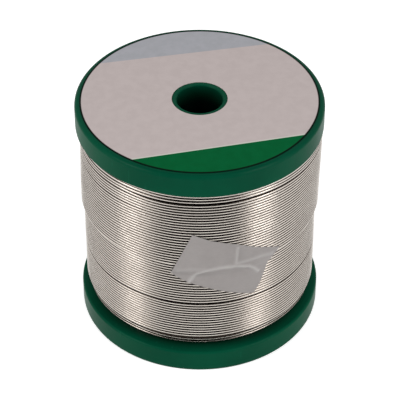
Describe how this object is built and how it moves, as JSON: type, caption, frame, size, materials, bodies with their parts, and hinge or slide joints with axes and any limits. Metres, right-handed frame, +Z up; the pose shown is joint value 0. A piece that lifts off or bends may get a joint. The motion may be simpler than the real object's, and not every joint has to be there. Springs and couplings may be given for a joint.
{
  "type": "solder wire spool",
  "caption": "Plastic wire reel: two rounded flanges on a drum, wound to the rim with fine solder wire, its end taped, a round paper label on top and a through bore for a spindle.",
  "frame": {"origin": "centre of the face that the lower flange stands on", "axes": "+Z up along the reel's axis, -Y towards the side with the tape, +X to the right seen from that side"},
  "size_m": [0.06, 0.06, 0.0615],
  "materials": {
    "reel_plastic": "smooth moulded green plastic, softly glossy",
    "solder_wire": "bright drawn tin alloy, pale grey",
    "flux": "amber rosin",
    "label_paper": "matt self-adhesive paper with plain printed bands",
    "tape_film": "matt translucent adhesive film"
  },
  "bodies": {
    "root": {"upper_flange": "reel_plastic", "lower_flange": "reel_plastic", "drum": "reel_plastic", "spindle_tube": "reel_plastic", "inner_winding": "solder_wire", "outer_turns": "solder_wire", "wire_end": "solder_wire", "flux_core": "flux", "label": "label_paper", "tape": "tape_film"}
  },
  "joints": []
}
